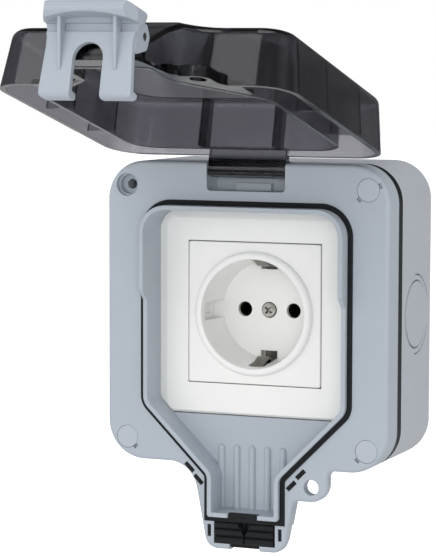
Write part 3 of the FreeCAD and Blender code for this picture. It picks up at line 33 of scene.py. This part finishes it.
def addNode(tree, kind, settings=None, **sockets):
    # one node with its settings; a socket value is a number, a colour or the output of another node
    node = tree.nodes.new(kind)
    for name, value in (settings or {}).items():
        setattr(node, name, value)
    for name, value in sockets.items():
        socket = node.inputs[int(name[1:])] if name[0] == "n" and name[1:].isdigit() else node.inputs[name]
        if isinstance(value, bpy.types.NodeSocket):
            tree.links.new(value, socket)
        else:
            socket.default_value = value
    return node


def newMaterial(name):
    material = bpy.data.materials.new(name)
    material.use_nodes = True
    material.node_tree.nodes.clear()
    return material, material.node_tree


def perMillimetre(size):
    # noise scale whose features are about this many millimetres across, on coordinates in metres
    return 1 / (size * millimetre)


def seenDirectly(tree):
    # the light path node, and 1 for rays from the camera or through a clear wall, 0 for all others
    paths = addNode(tree, "ShaderNodeLightPath")
    seen = addNode(tree, "ShaderNodeMath", {"operation": "MAXIMUM"},
                   n0=paths.outputs["Is Camera Ray"], n1=paths.outputs["Is Transmission Ray"])
    return paths, seen.outputs[0]


# Camera, fitted to the photograph
cameraSetup = {
    "azimuth": 21.734,          # degrees towards +X from straight in front
    "elevation": 5.185,
    "roll": 0.198,
    "focalPixels": 2481.4,
    "principalPoint": (242.25, 278.19),
    "distance": 0.88575,
    "target": (-0.00111, -0.052, 0.01361),
    "imageSize": (436, 556),
}


def makeCamera(setup):
    azimuth, elevation, roll = (math.radians(setup[key]) for key in ("azimuth", "elevation", "roll"))
    back = Vector((math.sin(azimuth) * math.cos(elevation), -math.cos(azimuth) * math.cos(elevation),
                   math.sin(elevation)))
    right = Vector((math.cos(azimuth), math.sin(azimuth), 0))
    up = back.cross(right)
    rolledRight = right * math.cos(roll) + up * math.sin(roll)
    rolledUp = up * math.cos(roll) - right * math.sin(roll)
    width, height = setup["imageSize"]
    data = bpy.data.cameras.new("photoCamera")
    data.sensor_width = 36
    data.lens = setup["focalPixels"] / max(width, height) * 36
    data.shift_x = (width / 2 - setup["principalPoint"][0]) / max(width, height)
    data.shift_y = (setup["principalPoint"][1] - height / 2) / max(width, height)
    data.clip_start = 0.05
    data.clip_end = 50
    camera = bpy.data.objects.new("photoCamera", data)
    bpy.context.scene.collection.objects.link(camera)
    turn = Matrix((rolledRight, rolledUp, back)).transposed().to_4x4()
    camera.matrix_world = Matrix.Translation(Vector(setup["target"]) + back * setup["distance"]) @ turn
    bpy.context.scene.camera = camera
    return camera


makeCamera(cameraSetup)
print("camera placed")


# Light: a pale room, a large soft box from the upper left, and more of them in front, at the right and above
lightSetup = {
    "roomColour": "#fbfcff",
    "roomStrength": 0.62,
    "roomInReflections": 0.1,
    "backdropColour": "#ffffff",    # what the camera sees behind the object
    "softBoxes": [
        # name, place in metres, size, watts, whether glossy walls mirror it
        ("keyBox", (-0.8, -1.3, 0.9), 1.3, 7.5, True),
        ("frontBox", (0.55, -1.6, 0.0), 1.0, 12.0, False),
        ("sideBox", (1.3, -0.1, 0.8), 0.8, 3.5, False),
        ("topBox", (0.0, -0.3, 1.5), 0.9, 4.0, True),
    ],
    "aim": (0.0, -0.05, 0.01),
}


def makeLights(setup):
    world = bpy.data.worlds.new("room")
    bpy.context.scene.world = world
    world.use_nodes = True
    tree = world.node_tree
    tree.nodes.clear()
    paths, seen = seenDirectly(tree)
    # reflections see a darker room, as with black screens beside the camera
    strength = addNode(tree, "ShaderNodeMapRange", Value=paths.outputs["Is Glossy Ray"],
                       n3=setup["roomStrength"], n4=setup["roomInReflections"])
    roomLight = addNode(tree, "ShaderNodeBackground", Color=srgb(setup["roomColour"]),
                        Strength=strength.outputs[0])
    backdrop = addNode(tree, "ShaderNodeBackground", Color=srgb(setup["backdropColour"]), Strength=1.0)
    mixed = addNode(tree, "ShaderNodeMixShader", n0=seen, n1=roomLight.outputs[0], n2=backdrop.outputs[0])
    addNode(tree, "ShaderNodeOutputWorld", Surface=mixed.outputs[0])
    for name, place, size, watts, mirrored in setup["softBoxes"]:
        data = bpy.data.lights.new(name, "AREA")
        data.size = size
        data.energy = watts
        lamp = bpy.data.objects.new(name, data)
        lamp.location = place
        lamp.visible_glossy = mirrored
        lamp.rotation_euler = (Vector(setup["aim"]) - Vector(place)).to_track_quat("-Z", "Y").to_euler()
        bpy.context.scene.collection.objects.link(lamp)


makeLights(lightSetup)
bpy.context.scene.view_settings.view_transform = "Standard"


# Floor: pale to the camera, and it keeps the shadow
floorSetup = {"height": -0.15, "halfSize": 6.0, "ownLight": 0.72, "colour": "#e6e6e6"}


def makeFloor(setup):
    half, height = setup["halfSize"], setup["height"]
    mesh = bpy.data.meshes.new("floor")
    mesh.from_pydata([(-half, -half, height), (half, -half, height), (half, half, height), (-half, half, height)],
                     [], [(0, 1, 2, 3)])
    floor = bpy.data.objects.new("floor", mesh)
    bpy.context.scene.collection.objects.link(floor)
    material, tree = newMaterial("paleFloor")
    seen = seenDirectly(tree)[1]
    strength = addNode(tree, "ShaderNodeMath", {"operation": "MULTIPLY"}, n0=seen, n1=setup["ownLight"])
    glow = addNode(tree, "ShaderNodeEmission", Color=srgb("#ffffff"), Strength=strength.outputs[0])
    matte = addNode(tree, "ShaderNodeBsdfDiffuse", Color=srgb(setup["colour"]))
    both = addNode(tree, "ShaderNodeAddShader", n0=glow.outputs[0], n1=matte.outputs[0])
    addNode(tree, "ShaderNodeOutputMaterial", Surface=both.outputs[0])
    mesh.materials.append(material)


makeFloor(floorSetup)
print("lights and floor placed")


# Materials
def mottled(tree, look, detail, roughness):
    # soft noise as large as the finish's own mottling, and its two colours mixed by that noise
    place = addNode(tree, "ShaderNodeTexCoord").outputs["Object"]
    noise = addNode(tree, "ShaderNodeTexNoise", Vector=place, Scale=perMillimetre(look["mottleSize"]),
                    Detail=detail, Roughness=roughness).outputs["Fac"]
    colours = addNode(tree, "ShaderNodeMix", {"data_type": "RGBA"}, n0=noise, n6=srgb(look["shade"]),
                      n7=srgb(look["colour"]))
    return place, noise, colours.outputs[2]


def relief(tree, height, edge, strength, depth):
    # the normal of a surface with rounded edges and fine relief; edge and depth are in millimetres
    soft = addNode(tree, "ShaderNodeBevel", {"samples": 4}, Radius=edge * millimetre)
    bump = addNode(tree, "ShaderNodeBump", Strength=strength, Distance=depth * millimetre, Height=height,
                   Normal=soft.outputs["Normal"])
    return bump.outputs["Normal"]


def unevenGloss(tree, noise, look, smoother, rougher):
    # roughness that wanders with the mottling round the finish's own value
    return addNode(tree, "ShaderNodeMapRange", Value=noise, n3=look["roughness"] - smoother,
                   n4=look["roughness"] + rougher).outputs[0]


def finishShader(tree, shader, colours, **more):
    # base colour in, surface out, and whatever else the material's output takes
    tree.links.new(colours, shader.inputs["Base Color"])
    addNode(tree, "ShaderNodeOutputMaterial", Surface=shader.outputs[0], **more)


def mouldedPlastic(name, look):
    # plastic out of an etched mould: fine even grain, faint cloudiness, edges softened by the tool
    material, tree = newMaterial(name)
    place, noise, colours = mottled(tree, look, detail=3.0, roughness=0.55)
    grain = addNode(tree, "ShaderNodeTexNoise", Vector=place, Scale=perMillimetre(look["grainSize"]),
                    Detail=2.0, Roughness=0.6)
    plastic = addNode(tree, "ShaderNodeBsdfPrincipled", IOR=look["ior"],
                      Roughness=unevenGloss(tree, noise, look, smoother=0.04, rougher=0.05),
                      Normal=relief(tree, grain.outputs["Fac"], look["edge"],
                                    strength=look["grainStrength"], depth=0.05))
    finishShader(tree, plastic, colours)
    return material


def mouldedRubber(name, look):
    # vulcanised seal: near black and matte, with a faint dusty bloom that follows no edge
    material, tree = newMaterial(name)
    place, unused, colours = mottled(tree, look, detail=4.0, roughness=0.65)
    skin = addNode(tree, "ShaderNodeTexNoise", Vector=place, Scale=perMillimetre(look["skinSize"]), Detail=3.0)
    rubber = addNode(tree, "ShaderNodeBsdfPrincipled", Roughness=look["roughness"], IOR=look["ior"],
                     Normal=relief(tree, skin.outputs["Fac"], look["edge"], strength=0.3, depth=0.06))
    rubber.inputs["Specular IOR Level"].default_value = look["specular"]
    finishShader(tree, rubber, colours)
    return material


def dyedClearPlastic(name, look):
    # clear plastic with a grey dye through its depth: one wall is grey glass, two are dark, thick blocks black
    material, tree = newMaterial(name)
    unused, noise, colours = mottled(tree, look, detail=2.0, roughness=0.5)
    dye = addNode(tree, "ShaderNodeVolumeAbsorption", Color=(*look["dyeColour"], 1.0), Density=look["dyePerMetre"])
    plastic = addNode(tree, "ShaderNodeBsdfPrincipled", IOR=look["ior"],
                      Roughness=unevenGloss(tree, noise, look, smoother=0.03, rougher=0.03),
                      Normal=relief(tree, noise, look["edge"], strength=0.12, depth=0.1))
    plastic.inputs["Transmission Weight"].default_value = 1.0
    finishShader(tree, plastic, colours, Volume=dye.outputs[0])
    return material


def platedMetal(name, look):
    # sheet or wire with a thin plate: small bright blotches and fine rolling marks
    material, tree = newMaterial(name)
    place, noise, colours = mottled(tree, look, detail=4.0, roughness=0.6)
    # rolling marks are long along the depth of the part
    stretched = addNode(tree, "ShaderNodeMapping", Vector=place, Scale=(1.0, 0.06, 1.0))
    marks = addNode(tree, "ShaderNodeTexNoise", Vector=stretched.outputs[0],
                    Scale=perMillimetre(look["markSize"]), Detail=2.0)
    metal = addNode(tree, "ShaderNodeBsdfPrincipled", Metallic=1.0,
                    Roughness=unevenGloss(tree, noise, look, smoother=0.08, rougher=0.12),
                    Normal=relief(tree, marks.outputs["Fac"], look["edge"], strength=0.25, depth=0.03))
    finishShader(tree, metal, colours)
    return material


# Sizes of mottling, grain and edges are in millimetres
plasticLooks = {
    # the grain is drawn at 0.4 to 0.8 mm so that it shows; the real etch is nearer 0.1 mm
    # cool grey ABS front: satin, so that its long edges read as soft pale lines
    "greyAbsCover": {"colour": "#b0b8c0", "shade": "#acb4bc", "mottleSize": 14, "grainSize": 0.5,
                     "grainStrength": 0.22, "roughness": 0.48, "edge": 0.35, "ior": 1.5},
    # the box is a shade less blue than the front, and a touch duller
    "greyAbsBox": {"colour": "#b6bac0", "shade": "#b1b6bc", "mottleSize": 16, "grainSize": 0.5,
                   "grainStrength": 0.22, "roughness": 0.5, "edge": 0.35, "ior": 1.5},
    # waxy acetal: a wider, softer sheen on the clip's ribs and legs
    "greyAcetalClip": {"colour": "#a9b1ba", "shade": "#a4acb5", "mottleSize": 9, "grainSize": 0.4,
                       "grainStrength": 0.15, "roughness": 0.4, "edge": 0.4, "ior": 1.48},
    # caps moulded on their own in the same plastic, slightly paler than the cover
    "greyAbsCap": {"colour": "#b5bcc5", "shade": "#b0b8c1", "mottleSize": 6, "grainSize": 0.5,
                   "grainStrength": 0.22, "roughness": 0.47, "edge": 0.2, "ior": 1.5},
    # pressed urea: hard and glossy, with a clear light along the round of the recess
    "whiteUreaPlastic": {"colour": "#f2f2ef", "shade": "#efefec", "mottleSize": 20, "grainSize": 0.8,
                         "grainStrength": 0.04, "roughness": 0.24, "edge": 0.3, "ior": 1.52},
    # unglazed ceramic behind the plate: chalky and slightly yellow
    "whiteCeramicBase": {"colour": "#e4e3dd", "shade": "#d9d7cf", "mottleSize": 5, "grainSize": 0.6,
                         "grainStrength": 0.3, "roughness": 0.7, "edge": 0.2, "ior": 1.5},
}
rubberLook = {"shade": "#141618", "colour": "#222528", "mottleSize": 4, "skinSize": 0.4, "roughness": 0.55,
              "specular": 0.3, "edge": 0.25, "ior": 1.45}
lidLook = {"colour": "#f4f3f5", "shade": "#eeedf0", "mottleSize": 18, "roughness": 0.12, "edge": 0.4,
           "ior": 1.58, "dyeColour": (0.0, 0.0, 0.06), "dyePerMetre": 560.0}
metalLooks = {
    # bright zinc on steel: pale, with a broken sheen on screws, pins and strap
    "zincSteel": {"colour": "#e0ddd7", "shade": "#c2beb6", "mottleSize": 1.2, "markSize": 0.25,
                  "roughness": 0.3, "edge": 0.15},
    # nickel on the earth springs: grey, so that they read as metal in a dark window
    "nickelBrass": {"colour": "#8e8b84", "shade": "#6b6862", "mottleSize": 1.5, "markSize": 0.25,
                    "roughness": 0.28, "edge": 0.15},
    # brass far darker than its own colour, as painted shade for the depth of the pin holes: almost black from
    # outside
    "brassDarkenedAsPaintedShade": {"colour": "#4d4028", "shade": "#33291a", "mottleSize": 1.5, "markSize": 0.25,
                  "roughness": 0.4, "edge": 0.15},
}

finishes = {name: mouldedPlastic(name, look) for name, look in plasticLooks.items()}
finishes.update({name: platedMetal(name, look) for name, look in metalLooks.items()})
finishes["epdmRubber"] = mouldedRubber("epdmRubber", rubberLook)
finishes["smokedPolycarbonate"] = dyedClearPlastic("smokedPolycarbonate", lidLook)

finishOfNode = {
    "back_box": "greyAbsBox",
    "box_gasket": "epdmRubber",
    "front_cover": "greyAbsCover",
    "rim_gasket": "epdmRubber",
    "gasket_anchors": "epdmRubber",
    "cable_gland": "epdmRubber",
    "lid": "smokedPolycarbonate",
    "latch_clip": "greyAcetalClip",
    "lid_hinge_pin": "zincSteel",
    "latch_pin": "zincSteel",
    "socket_frame": "whiteUreaPlastic",
    "socket_faceplate": "whiteUreaPlastic",
    "mounting_strap": "zincSteel",
    "socket_base": "whiteCeramicBase",
    # the contacts take the brass darkened as painted shade of the pin holes
    "contact_left": "brassDarkenedAsPaintedShade",
    "contact_right": "brassDarkenedAsPaintedShade",
    "earth_contact": "nickelBrass",
    "cover_screws": "zincSteel",
    "screw_caps": "greyAbsCap",
    "strap_screws": "zincSteel",
    "centre_screw": "zincSteel",
    "terminal_screw_left": "zincSteel",
    "terminal_screw_right": "zincSteel",
    "earth_terminal_screw": "zincSteel",
}


def finishNodes():
    for nodeName, finish in finishOfNode.items():
        shape = nodes[nodeName]
        shape.data.materials.clear()
        shape.data.materials.append(finishes[finish])


finishNodes()
print("materials assigned")
